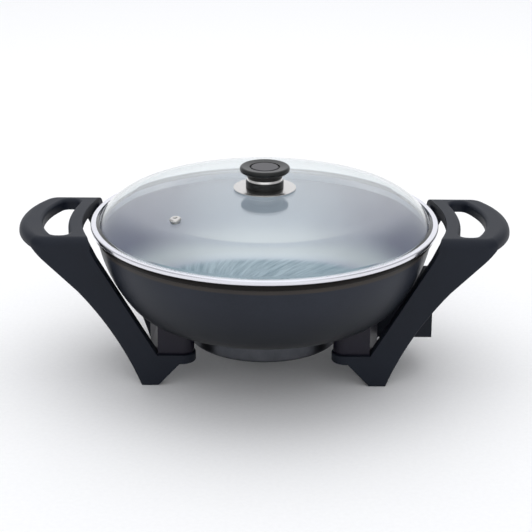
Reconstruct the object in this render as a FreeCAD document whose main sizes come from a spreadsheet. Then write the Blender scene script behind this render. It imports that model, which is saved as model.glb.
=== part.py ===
"""Electric skillet: a deep cast pan with a glass lid, on two looped handles whose legs
carry it.  Origin on the floor under the pan's axis, +Z up, +X towards the socket hood,
-Y towards the cook.  Millimetres."""
import FreeCAD, Part
import math
import os
import Sketcher
from FreeCAD import Placement, Rotation, Vector

DIMS = {
    # names ending in _out are reaches measured outwards from the rim's outside, and names
    # ending in _up are heights measured from the rim's top
    # pan
    "seat_height": 145.0,        # floor to the top of the pan's rim
    "rim_radius": 167.0,         # outside of the rolled rim
    "rim_height": 6.0,
    "rim_round": 2.0,
    "rim_step": 3.4,             # how far the rim stands out from the wall
    "wall_top_drop": 9.0,        # rim top to the start of the curved wall
    "wall_thick": 3.5,
    "wall_radius": 136.0,        # arc of the wall
    "bend_radius": 46.0,         # arc where the wall turns under
    "belly_radius": 210.0,       # shallow arc of the underside
    "wall_slope_top": 80.0,      # degrees from level, at the top of the wall
    "wall_slope_low": 52.0,
    "bend_slope_low": 25.0,
    "belly_slope_low": 12.0,
    "inside_depth": 89.5,
    "rim_throat_out": -5.8,      # inside radius of the rim's mouth
    # base cover and heater under the pan
    "cover_radius_out": -91.5,
    "cover_bottom": 28.5,
    "cover_sheet": 1.2,
    "cover_round": 3.0,
    "cover_gap": 0.2,
    "heater_radius": 58.0,       # centre line of the tubular element
    "heater_tube": 3.3,
    "heater_gap": 0.1,
    "heater_opening": 50.0,      # degrees left open in the element's ring
    "lead_spacing": 24.0,        # between the two terminals
    "lead_reach_out": -75.0,     # where the leads start to rise
    "clamp_radius": 63.0,
    "clamp_hole": 9.5,
    "clamp_sheet": 1.5,
    "clamp_screw_circle": 38.0,
    "post_radius": 5.0,
    "centre_post_radius": 8.0,
    # handles and legs
    "handle_top_up": 6.0,
    "loop_thick": 11.0,
    "loop_inner_out": 11.0,      # inner edge, about the pan's axis
    "loop_tip_out": 73.0,
    "loop_tip_radius": 107.0,
    "loop_corner": 18.0,
    "grip_inner_out": 24.5,
    "grip_tip_out": 49.5,
    "grip_tip_radius": 99.0,
    "grip_half": 52.0,
    "grip_corner": 8.0,
    "loop_top_round": 4.0,
    "loop_rim_round": 9.0,
    "leg_edge_round": 1.2,
    "leg_front": 66.0,           # face of the front leg, from the middle
    "leg_thick": 12.0,
    "foot_outer_out": -48.5,
    "foot_inner_out": -64.7,
    "knee_reach_out": 11.0,
    "knee_height_up": -47.5,
    "leg_sweep": 327.0,
    "leg_top_reach_out": 59.5,
    "leg_top_height_up": 0.0,
    "rear_knee_reach_out": -10.0,  # the rear legs are slimmer than the front ones
    "rear_knee_height_up": -61.0,
    "rear_top_reach_out": 20.0,
    "leg_neck_reach": 2.188,     # beyond the throat, where the loop's pan side meets its ends
    "leg_bend_inset": 5.312,     # inside the throat
    "leg_bend_height_up": -16.0,
    "flange_top": 31.7,
    "flange_bottom": 22.3,
    "flange_root_out": -64.0,
    "flange_width": 27.5,
    "flange_end_out": -100.8,
    "shelf_reach_out": -85.4,
    # spacers between pan and legs
    "spacer_inset": 4.0,         # spacer front face behind the leg's face
    "spacer_width": 22.0,
    "spacer_end_inset": 1.6,
    "spacer_flare": 8.0,
    "spacer_pan_gap": 0.3,
    "leg_post_x_out": -82.0,
    "leg_post_y": 51.0,
    "leg_post_radius": 7.0,
    "leg_post_bottom": 44.0,
    "post_gap": 0.4,
    # socket hood
    "hood_back_out": -56.0,
    "hood_face_out": -1.4,
    "hood_half": 27.0,
    "hood_bottom": 36.0,
    "hood_top": 91.0,
    "hood_wall": 3.0,
    "hood_bulkhead_out": -34.0,
    "hood_pan_gap": 0.8,
    "hood_post_x_out": -45.0,
    "hood_post_y": 20.0,
    "hood_post_radius": 3.8,
    "terminal_height": 56.0,
    "pin_radius": 2.5,
    "pin_tip_out": -9.0,
    "pin_start_out": -40.0,
    "pin_shoulder": 0.3,         # step between the pin and its shank in the bead
    "bead_radius": 5.0,
    "bead_flange": 1.6,
    "probe_radius": 3.5,
    "probe_depth": 18.0,
    "lug_half": 6.0,
    "lug_height": 15.0,
    # screws
    "screw_radius": 2.5,
    "screw_head": 4.6,
    "screw_head_height": 3.0,
    "small_screw_radius": 1.75,
    "small_head": 3.4,
    "small_head_height": 2.2,
    "screw_gap": 0.3,
    "washer_thick": 1.0,
    "screw_bite": 11.0,
    "drive_radius": 2.2,
    "drive_depth": 1.6,
    # lid
    "lid_gap": 0.3,
    "lid_radius_out": 3.0,
    "band_sheet": 0.5,
    "band_lip": 5.4,             # width of the band's top leg
    "band_skirt_gap": 1.9,
    "band_skirt_drop": 6.0,
    "glass_thick": 4.0,
    "glass_edge_gap": 0.3,
    "crown_height": 36.4,        # lid seat to the top of the glass
    "crown_radius": 900.0,
    "knuckle_radius": 46.0,
    "knuckle_reach": 47.5,       # from the lid's edge in to the knuckle's centre
    "lid_hole": 5.0,
    "vent_x": -83.0,
    "vent_y": -78.0,
    "vent_hole": 3.2,
    "vent_bore": 1.6,
    "vent_flange": 5.5,
    "vent_sheet": 0.8,
    "vent_head": 3.0,
    "vent_round": 2.2,
    "vent_gap": 0.03,            # eyelet flanges clear of the curved glass
    # knob
    "gasket_radius": 14.0,
    "gasket_thick": 0.7,
    "skirt_radius": 30.5,
    "skirt_sheet": 0.8,
    "skirt_drop": 0.7,
    "collar_radius": 18.5,
    "collar_height": 6.3,
    "ring_radius": 17.2,
    "ring_height": 3.2,
    "neck_radius": 17.0,
    "neck_height": 5.0,
    "neck_flare": 1.8,
    "head_radius": 24.4,
    "head_height": 6.2,
    "head_round": 2.4,
    "inset_radius": 13.5,
    "inset_thick": 1.5,
    "inset_groove": 1.4,
    "insert_radius": 4.0,
    "insert_height": 9.0,
    "knob_washer_radius": 11.0,
    "knob_screw_head": 4.5,
    "knob_bore_gap": 0.3,
}

doc = FreeCAD.newDocument("electric_skillet")
sheet = doc.addObject("Spreadsheet::Sheet", "dims")
for row, (alias, number) in enumerate(DIMS.items(), start=1):
    sheet.set("A%d" % row, alias.replace("_", " "))
    sheet.set("B%d" % row, str(number))
    sheet.setAlias("B%d" % row, alias)
doc.recompute()


class Size:
    """A length known both as a number and as the sheet formula that gives it."""

    def __init__(self, value, formula):
        self.value = value
        self.formula = formula

    def __add__(self, other):
        other = as_size(other)
        return Size(self.value + other.value, "(%s + %s)" % (self.formula, other.formula))

    def __sub__(self, other):
        other = as_size(other)
        return Size(self.value - other.value, "(%s - %s)" % (self.formula, other.formula))

    def __mul__(self, other):
        other = as_size(other)
        return Size(self.value * other.value, "(%s * %s)" % (self.formula, other.formula))

    def __truediv__(self, other):
        other = as_size(other)
        return Size(self.value / other.value, "(%s / %s)" % (self.formula, other.formula))

    def __neg__(self):
        return self * -1


def as_size(thing):
    return thing if isinstance(thing, Size) else Size(float(thing), "(%r)" % float(thing))


def dim(alias):
    return Size(float(sheet.get(alias)), "dims.%s" % alias)


def from_rim(name):
    """A reach measured outwards from the rim's outside; negative ones lie inside it."""
    return dim("rim_radius") + dim(name + "_out")


def from_seat(name):
    """A height measured up from the top of the rim."""
    return dim("seat_height") + dim(name + "_up")


def root(square):
    return Size(math.sqrt(square.value), "sqrt(%s)" % square.formula)


def sine(angle):
    return Size(math.sin(math.radians(angle.value)), "sin(%s)" % angle.formula)


def cosine(angle):
    return Size(math.cos(math.radians(angle.value)), "cos(%s)" % angle.formula)


ZERO = as_size(0)


# ---------------------------------------------------------------- drawing helpers

def line(x, y):
    return {"to": (as_size(x), as_size(y))}


def arc(x, y, centre, radius, ccw):
    return {"to": (as_size(x), as_size(y)), "centre": centre, "radius": as_size(radius), "ccw": ccw}


def circle(x, y, radius):
    return {"ring": (as_size(x), as_size(y)), "radius": as_size(radius)}


def plane_of(body, role):
    return [part for part in body.Origin.OriginFeatures if part.Role == role][0]


def pin_point(sketch, geometry, position, point):
    """Fixes one sketch point by two distances from the sketch origin, bound to the sheet."""
    for kind, size in zip(("DistanceX", "DistanceY"), point):
        index = sketch.addConstraint(Sketcher.Constraint(kind, -1, 1, geometry, position, size.value))
        sketch.setExpression("Constraints[%d]" % index, size.formula)


def bind_radius(sketch, geometry, radius):
    index = sketch.addConstraint(Sketcher.Constraint("Radius", geometry, radius.value))
    sketch.setExpression("Constraints[%d]" % index, radius.formula)


def draw_outline(sketch, steps):
    """Draws one closed outline; the last step leads back to the first point."""
    start = steps[-1]["to"]
    ends = []
    for step in steps:
        first = Vector(start[0].value, start[1].value, 0)
        last = Vector(step["to"][0].value, step["to"][1].value, 0)
        if "centre" in step:
            centre = Vector(step["centre"][0].value, step["centre"][1].value, 0)
            ring = Part.Circle(centre, Vector(0, 0, 1), step["radius"].value)
            low, high = (first, last) if step["ccw"] else (last, first)
            a = math.atan2(low.y - centre.y, low.x - centre.x)
            b = math.atan2(high.y - centre.y, high.x - centre.x)
            index = sketch.addGeometry(Part.ArcOfCircle(ring, a, b if b > a else b + 2 * math.pi), False)
            ends.append((index, 1, 2) if step["ccw"] else (index, 2, 1))
        else:
            ends.append((sketch.addGeometry(Part.LineSegment(first, last), False), 1, 2))
        start = step["to"]
    for number, (index, _, end) in enumerate(ends):
        following = ends[(number + 1) % len(ends)]
        sketch.addConstraint(Sketcher.Constraint("Coincident", index, end, following[0], following[1]))
    for (index, _, end), step in zip(ends, steps):
        pin_point(sketch, index, end, step["to"])
        if "centre" in step:
            bind_radius(sketch, index, step["radius"])


def draw_circle(sketch, step):
    centre = Vector(step["ring"][0].value, step["ring"][1].value, 0)
    index = sketch.addGeometry(Part.Circle(centre, Vector(0, 0, 1), step["radius"].value), False)
    pin_point(sketch, index, 3, step["ring"])
    bind_radius(sketch, index, step["radius"])


def new_sketch(body, name, role, outlines, offset=None):
    """A sketch on one of the body's own origin planes, moved out along that plane's normal."""
    sketch = body.newObject("Sketcher::SketchObject", name)
    sketch.AttachmentSupport = (plane_of(body, role), "")
    sketch.MapMode = "FlatFace"
    if offset is not None:
        sketch.setExpression("AttachmentOffset.Base.z", offset.formula)
    for outline in outlines:
        if isinstance(outline, dict):
            draw_circle(sketch, outline)
        else:
            draw_outline(sketch, outline)
    doc.recompute()
    return sketch


def new_body(label):
    body = doc.addObject("PartDesign::Body", label)
    body.Label = label
    return body


def turn(body, name, outline, kind="Revolution"):
    """A full turn of an outline about the Z axis; x is the radius and y the height."""
    sketch = new_sketch(body, name + "_outline", "XZ_Plane", [outline])
    feature = body.newObject("PartDesign::" + kind, name)
    feature.Profile = sketch
    feature.ReferenceAxis = (sketch, ["V_Axis"])
    feature.Angle = 360
    doc.recompute()
    return feature


def turned(label, outline):
    body = new_body(label)
    turn(body, label + "_turn", outline)
    return body


def pad(body, name, role, outlines, length, offset=None, reverse=False):
    feature = body.newObject("PartDesign::Pad", name)
    feature.Profile = new_sketch(body, name + "_outline", role, outlines, offset)
    feature.setExpression("Length", length.formula)
    feature.Reversed = reverse
    doc.recompute()
    return feature


def pocket(body, name, role, outlines, length, offset=None, reverse=False):
    before = body.Shape.Volume
    feature = body.newObject("PartDesign::Pocket", name)
    feature.Profile = new_sketch(body, name + "_outline", role, outlines, offset)
    feature.setExpression("Length", length.formula)
    feature.Reversed = reverse
    doc.recompute()
    if body.Shape.Volume > before - 1:
        raise RuntimeError("pocket %s removes nothing" % name)
    return feature


def fillet(body, name, radius, wanted):
    """Rounds every edge of the body for which wanted(edge) is true."""
    base = body.Tip
    names = ["Edge%d" % (i + 1) for i, edge in enumerate(base.Shape.Edges) if wanted(edge)]
    if not names:
        raise RuntimeError("fillet %s finds no edge" % name)
    feature = body.newObject("PartDesign::Fillet", name)
    feature.Base = (base, names)
    feature.setExpression("Radius", radius.formula)
    doc.recompute()
    return feature


def bound(kind, name, sizes):
    """A Part primitive whose properties follow the sheet."""
    thing = doc.addObject("Part::" + kind, name)
    for key, size in sizes.items():
        thing.setExpression(key, as_size(size).formula)
    return thing


def cylinder(name, radius, height, x=0, y=0, z=0):
    return bound("Cylinder", name, {"Radius": radius, "Height": height, "Placement.Base.x": x,
                                    "Placement.Base.y": y, "Placement.Base.z": z})


def fuse(name, things):
    joined = doc.addObject("Part::MultiFuse", name)
    joined.Shapes = things
    joined.Refine = True
    return joined


def cut(name, base, tool):
    result = doc.addObject("Part::Cut", name)
    result.Base = base
    result.Tool = tool
    return result


def group(label, things):
    compound = doc.addObject("Part::Compound", label)
    compound.Links = things
    compound.Label = label
    return compound


def screw(name, x, y, seat, reach, radius, head_radius, head_height):
    """A socket-head screw standing up from under its seat, which is at the given height."""
    drive_low = seat - head_height - dim("drive_depth")
    head = cylinder(name + "_head", head_radius, head_height, x, y, seat - head_height)
    shank = cylinder(name + "_shank", radius, reach + head_height / 2, x, y, seat - head_height / 2)
    drive = bound("Prism", name + "_drive", {
        "Circumradius": dim("drive_radius"), "Height": dim("drive_depth") * 2,
        "Placement.Base.x": x, "Placement.Base.y": y, "Placement.Base.z": drive_low})
    drive.Polygon = 6
    return cut(name, fuse(name + "_blank", [head, shank]), drive)


# ---------------------------------------------------------------- the pan's section

def arc_point(centre, radius, slope):
    """The point of a belly-out arc where the wall leans at the given slope."""
    return (centre[0] + radius * sine(slope), centre[1] - radius * cosine(slope))


def arc_centre(point, radius, slope):
    return (point[0] - radius * sine(slope), point[1] + radius * cosine(slope))


def pan_arcs():
    """Centres and radii of the three arcs of the pan's outside, from the rim down."""
    slopes = [dim("wall_slope_top"), dim("wall_slope_low"), dim("bend_slope_low"), dim("belly_slope_low")]
    radii = [dim("wall_radius"), dim("bend_radius"), dim("belly_radius")]
    point = (dim("rim_radius") - dim("rim_step"), dim("seat_height") - dim("wall_top_drop"))
    arcs = []
    for radius, high, low in zip(radii, slopes, slopes[1:]):
        centre = arc_centre(point, radius, high)
        arcs.append({"centre": centre, "radius": radius, "high": high, "low": low})
        point = arc_point(centre, radius, low)
    return arcs


def pan_wall(grow):
    """The outside of the pan, from the rim down, pushed outwards by grow."""
    steps = []
    for piece in pan_arcs():
        radius = piece["radius"] + grow
        if not steps:
            steps.append(line(*arc_point(piece["centre"], radius, piece["high"])))
        x, y = arc_point(piece["centre"], radius, piece["low"])
        steps.append(arc(x, y, piece["centre"], radius, ccw=False))
    return steps


def pan_underside(radius_out):
    """Height of the pan's underside at a radius on the shallow belly arc."""
    belly = pan_arcs()[2]
    reach = as_size(radius_out) - belly["centre"][0]
    return belly["centre"][1] - root(belly["radius"] * belly["radius"] - reach * reach)


def pan_bottom():
    belly = pan_arcs()[2]
    return arc_point(belly["centre"], belly["radius"], belly["low"])[1]


def above_pan(grow):
    """Everything inside and above the pan's outside surface, for trimming what stands under it."""
    outer = dim("rim_radius") * 1.2
    top = dim("seat_height") * 1.2
    bottom = pan_bottom() - grow
    wall = pan_wall(grow)
    return ([line(ZERO, bottom), line(ZERO, top), line(outer, top), line(outer, wall[0]["to"][1])]
            + wall + [line(wall[-1]["to"][0], bottom)])


def make_pan():
    """Cast pan: rolled rim, curved wall, thick floor, and the posts cast on its underside."""
    body = new_body("pan_body")
    seat = dim("seat_height")
    rim = dim("rim_radius")
    round_ = dim("rim_round")
    rim_low = seat - dim("rim_height")
    wall = pan_wall(ZERO)
    outside = [line(ZERO, pan_bottom()), line(ZERO, seat), line(rim - round_, seat),
               arc(rim, seat - round_, (rim - round_, seat - round_), round_, ccw=False),
               line(rim, rim_low), line(rim - dim("rim_step"), rim_low)] + wall
    turn(body, "pan_outside", outside)
    lug_low = dim("terminal_height") - dim("lug_height") / 2
    lug = [line(from_rim("hood_bulkhead"), -dim("lug_half")),
           line(from_rim("hood_bulkhead"), dim("lug_half")),
           line(from_rim("cover_radius") * 1.25, dim("lug_half")),
           line(from_rim("cover_radius") * 1.25, -dim("lug_half"))]
    pad(body, "probe_lug", "XY_Plane", [lug], dim("lug_height"), lug_low)
    leg_posts = [circle(from_rim("leg_post_x") * sx, dim("leg_post_y") * sy, dim("leg_post_radius"))
                 for sx in (-1, 1) for sy in (-1, 1)]
    pad(body, "leg_posts", "XY_Plane", leg_posts, seat / 2 - dim("leg_post_bottom"),
        dim("leg_post_bottom"))
    hood_posts = [circle(from_rim("hood_post_x"), dim("hood_post_y") * sy, dim("hood_post_radius"))
                  for sy in (-1, 1)]
    hood_floor = dim("hood_bottom") + dim("hood_wall")
    pad(body, "hood_posts", "XY_Plane", hood_posts, seat / 2 - hood_floor, hood_floor)
    clamp_low = pan_bottom() - dim("heater_tube") * 2 - dim("heater_gap") * 2
    pad(body, "clamp_posts", "XY_Plane", clamp_places(dim("post_radius")),
        pan_bottom() - clamp_low + 1, clamp_low)
    cover_floor = dim("cover_bottom") + dim("cover_sheet")
    pad(body, "centre_post", "XY_Plane", [circle(0, 0, dim("centre_post_radius"))],
        pan_bottom() - cover_floor + 1, cover_floor)

    throat = from_rim("rim_throat")
    inner = pan_wall(-dim("wall_thick"))[:3]
    belly = pan_arcs()[2]
    belly_radius = belly["radius"] - dim("wall_thick")
    floor = seat - dim("inside_depth")
    drop = belly["centre"][1] - floor
    floor_edge = belly["centre"][0] + root(belly_radius * belly_radius - drop * drop)
    hollow = ([line(ZERO, floor), line(ZERO, seat + 1), line(throat + 1, seat + 1),
               line(throat, seat - round_)] + inner
              + [arc(floor_edge, floor, belly["centre"], belly_radius, ccw=False)])
    before = body.Shape.Volume
    turn(body, "pan_hollow", hollow, "Groove")
    if body.Shape.Volume > before - 1:
        raise RuntimeError("the pan is not hollowed")

    tap = dim("screw_radius") + 0.05
    tap_small = dim("small_screw_radius") + 0.05
    bite = dim("screw_bite")
    pocket(body, "leg_taps", "XY_Plane",
           [circle(from_rim("leg_post_x") * sx, dim("leg_post_y") * sy, tap)
            for sx in (-1, 1) for sy in (-1, 1)],
           bite, dim("leg_post_bottom"), reverse=True)
    pocket(body, "hood_taps", "XY_Plane",
           [circle(from_rim("hood_post_x"), dim("hood_post_y") * sy, tap_small) for sy in (-1, 1)],
           bite, hood_floor, reverse=True)
    pocket(body, "clamp_taps", "XY_Plane", clamp_places(tap_small), bite, clamp_low, reverse=True)
    pocket(body, "cover_tap", "XY_Plane", [circle(0, 0, tap)], bite, cover_floor, reverse=True)
    pocket(body, "probe_socket", "YZ_Plane", [circle(0, dim("terminal_height"), dim("probe_radius"))],
           dim("probe_depth"), from_rim("hood_bulkhead"))
    return body


def clamp_places(radius):
    """Three places round the clamp's screw circle, one of them straight back."""
    reach = dim("clamp_screw_circle")
    places = []
    for turn_degrees in (180, 60, -60):
        angle = as_size(turn_degrees)
        places.append(circle(reach * cosine(angle), reach * sine(angle), radius))
    return places


# ---------------------------------------------------------------- under the pan

def heater_level():
    return pan_bottom() - dim("heater_gap") - dim("heater_tube")


def make_heater():
    """Tubular element: an open ring under the floor and two leads that rise to the terminals."""
    ring_radius = dim("heater_radius")
    tube = dim("heater_tube")
    level = heater_level()
    half = dim("lead_spacing") / 2
    path = []
    height = level.value
    ring = ring_radius.value
    gap = math.radians(dim("heater_opening").value / 2)
    reach = from_rim("lead_reach").value
    rise_to = dim("terminal_height").value
    rise_end = from_rim("pin_start").value - 2 * tube.value
    start = Vector(ring * math.cos(gap), ring * math.sin(gap), height)
    finish = Vector(start.x, -start.y, height)
    side = half.value
    points_up = [Vector(ring + 2 * tube.value, side, height), Vector(reach, side, height),
                 Vector(rise_end, side, rise_to), Vector(from_rim("pin_start").value, side, rise_to)]
    loop = Part.Arc(start, Vector(-ring, 0, height), finish)
    for mirror, corner in ((1, start), (-1, finish)):
        points = [corner] + [Vector(p.x, p.y * mirror, p.z) for p in points_up]
        path.append(rounded_path(points, 2.2 * tube.value))
    spine_parts = [tube_along(loop.toShape(), tube.value)] + [tube_along(wire, tube.value) for wire in path]
    elbows = [Part.makeSphere(tube.value, corner) for corner in (start, finish)]
    element = doc.addObject("Part::Feature", "heating_element")
    element.Label = "heating_element"
    element.Shape = spine_parts[0].multiFuse(spine_parts[1:] + elbows).removeSplitter()
    return element


def rounded_path(points, radius):
    """Straight runs joined by tangent arcs, starting at the first point."""
    edges = []
    last = points[0]
    for before, corner, after in zip(points, points[1:], points[2:]):
        inward = (before - corner).normalize()
        onward = (after - corner).normalize()
        half_angle = inward.getAngle(onward) / 2
        trim = radius / math.tan(half_angle)
        start = corner + inward * trim
        end = corner + onward * trim
        middle_way = (inward + onward).normalize()
        centre = corner + middle_way * (radius / math.sin(half_angle))
        edges.append(Part.LineSegment(last, start).toShape())
        edges.append(Part.Arc(start, centre - middle_way * radius, end).toShape())
        last = end
    edges.append(Part.LineSegment(last, points[-1]).toShape())
    return Part.Wire(edges)


def tube_along(path, radius):
    """A round bar swept along an edge or a wire."""
    wire = path if isinstance(path, Part.Wire) else Part.Wire([path])
    first = wire.Edges[0]
    start = first.valueAt(first.FirstParameter)
    way = first.tangentAt(first.FirstParameter)
    section = Part.Wire([Part.makeCircle(radius, start, way)])
    return wire.makePipeShell([section], True, False)


def make_clamp():
    """Pressed disc that holds the element up against the floor of the pan."""
    top = heater_level() - dim("heater_tube") - dim("heater_gap")
    low = top - dim("clamp_sheet")
    disc = new_body("heater_clamp")
    pad(disc, "clamp_disc", "XY_Plane",
        [circle(0, 0, dim("clamp_radius")), circle(0, 0, dim("clamp_hole"))]
        + clamp_places(dim("small_screw_radius") + dim("screw_gap")), dim("clamp_sheet"), low)
    screws = []
    for number, place in enumerate(clamp_places(ZERO)):
        x, y = place["ring"]
        screws.append(screw("clamp_screw_%d" % number, x, y, low, dim("screw_bite") - 1,
                            dim("small_screw_radius"), dim("small_head"), dim("small_head_height")))
    return [disc, group("clamp_screws", screws)]


def make_cover():
    """Pressed dish that closes the base: floor, rounded corner and upright ring."""
    radius = from_rim("cover_radius")
    sheet_thick = dim("cover_sheet")
    low = dim("cover_bottom")
    bend = dim("cover_round")
    inner_bend = bend - sheet_thick
    top = pan_underside(radius) - dim("cover_gap")
    hole = dim("screw_radius") + dim("screw_gap")
    outline = [line(hole, low), line(radius - bend, low),
               arc(radius, low + bend, (radius - bend, low + bend), bend, ccw=True),
               line(radius, top), line(radius - sheet_thick, top),
               line(radius - sheet_thick, low + bend),
               arc(radius - bend, low + sheet_thick, (radius - bend, low + bend), inner_bend, ccw=False),
               line(hole, low + sheet_thick)]
    dish = turned("base_cover", outline)
    notch_half = dim("lead_spacing") / 2 + dim("heater_tube") + dim("post_gap") * 2
    pocket(dish, "lead_notch", "YZ_Plane",
           [[line(notch_half, low + bend * 2), line(notch_half, top + 2),
             line(-notch_half, top + 2), line(-notch_half, low + bend * 2)]],
           radius, radius * 1.2)
    washer = turned("cover_washer",
                    ring_outline(hole, dim("screw_head") + 1.4, low - dim("washer_thick"), low))
    bolt = screw("cover_screw", ZERO, ZERO, low - dim("washer_thick"), dim("screw_bite"),
                 dim("screw_radius"), dim("screw_head"), dim("screw_head_height"))
    bolt.Label = "cover_screw"
    return [dish, washer, bolt]


def ring_outline(inner, outer, low, high):
    return [line(inner, low), line(outer, low), line(outer, high), line(inner, high)]


# ---------------------------------------------------------------- handles and legs

def loop_throat():
    """Reach of the points where the loop's pan side meets its straight front and back."""
    inner = from_rim("loop_inner")
    front = dim("leg_front")
    return root(inner * inner - front * front)


def loop_outline(side):
    """Plan of the looped handle: pan-side arc, straight front and back, wide outer arc."""
    front = dim("leg_front")
    inner = from_rim("loop_inner")
    corner = dim("loop_corner")
    tip_radius = dim("loop_tip_radius")
    tip_centre = from_rim("loop_tip") - tip_radius
    throat = loop_throat()
    reach = tip_radius - corner
    corner_y = front - corner
    corner_x = tip_centre + root(reach * reach - corner_y * corner_y)
    scale = tip_radius / reach
    shoulder_x = tip_centre + (corner_x - tip_centre) * scale
    shoulder_y = corner_y * scale
    wide = side > 0
    return [line(throat * side, -front), line(corner_x * side, -front),
            arc(shoulder_x * side, -shoulder_y, (corner_x * side, -corner_y), corner, wide),
            arc(shoulder_x * side, shoulder_y, (tip_centre * side, ZERO), tip_radius, wide),
            arc(corner_x * side, front, (corner_x * side, corner_y), corner, wide),
            line(throat * side, front),
            arc(throat * side, -front, (ZERO, ZERO), inner, not wide)][1:]


def grip_outline(side):
    """Plan of the hand hole, with rounded corners."""
    half = dim("grip_half")
    inner = from_rim("grip_inner")
    corner = dim("grip_corner")
    tip_radius = dim("grip_tip_radius")
    tip_centre = from_rim("grip_tip") - tip_radius
    corner_y = half - corner
    outer_reach = tip_radius - corner
    outer_x = tip_centre + root(outer_reach * outer_reach - corner_y * corner_y)
    outer_scale = tip_radius / outer_reach
    outer_touch = ((tip_centre + (outer_x - tip_centre) * outer_scale) * side, corner_y * outer_scale)
    inner_reach = inner + corner
    inner_x = root(inner_reach * inner_reach - corner_y * corner_y)
    inner_scale = inner / inner_reach
    inner_touch = (inner_x * inner_scale * side, corner_y * inner_scale)
    wide = side > 0
    return [line(outer_x * side, -half),
            arc(outer_touch[0], -outer_touch[1], (outer_x * side, -corner_y), corner, wide),
            arc(outer_touch[0], outer_touch[1], (tip_centre * side, ZERO), tip_radius, wide),
            arc(outer_x * side, half, (outer_x * side, corner_y), corner, wide),
            line(inner_x * side, half),
            arc(inner_touch[0], inner_touch[1], (inner_x * side, corner_y), corner, wide),
            arc(inner_touch[0], -inner_touch[1], (ZERO, ZERO), inner, not wide),
            arc(inner_x * side, -half, (inner_x * side, -corner_y), corner, wide)]


def leg_outline(side, knee, top_reach):
    """Front view of a leg: foot, swept outer edge, top, straight inner edge and shelf."""
    foot = (from_rim("foot_outer"), ZERO)
    run = knee[0] - foot[0]
    climb = knee[1] - foot[1]
    chord = root(run * run + climb * climb)
    sweep = dim("leg_sweep")
    rise = root(sweep * sweep - chord * chord / 4)
    centre_x = (foot[0] + knee[0]) / 2 + rise * climb / chord
    centre_y = (foot[1] + knee[1]) / 2 - rise * run / chord
    shelf = from_rim("shelf_reach")
    throat = loop_throat()
    return [line(from_rim("foot_inner") * side, ZERO), line(foot[0] * side, ZERO),
            arc(knee[0] * side, knee[1], (centre_x * side, centre_y), sweep, side < 0),
            line(top_reach * side, from_seat("leg_top_height")),
            line((throat + dim("leg_neck_reach")) * side, from_seat("leg_top_height")),
            line((throat - dim("leg_bend_inset")) * side, from_seat("leg_bend_height")),
            line(from_rim("flange_root") * side, dim("flange_top")),
            line(shelf * side, dim("flange_top")), line(shelf * side, dim("flange_bottom"))]


def stadium(side, front, width, end, root_x, flare):
    """Plan of a spacer or flange: round inner end, flat front, splayed outer end."""
    radius = width / 2
    middle = -(front - radius)
    centre_x = end + radius
    return [line(centre_x * side, -front), line(root_x * side, -front),
            line((root_x + flare) * side, -(front - width)),
            line(centre_x * side, -(front - width)),
            arc(end * side, middle, (centre_x * side, middle), radius, side > 0),
            arc(centre_x * side, -front, (centre_x * side, middle), radius, side > 0)][1:]


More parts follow.
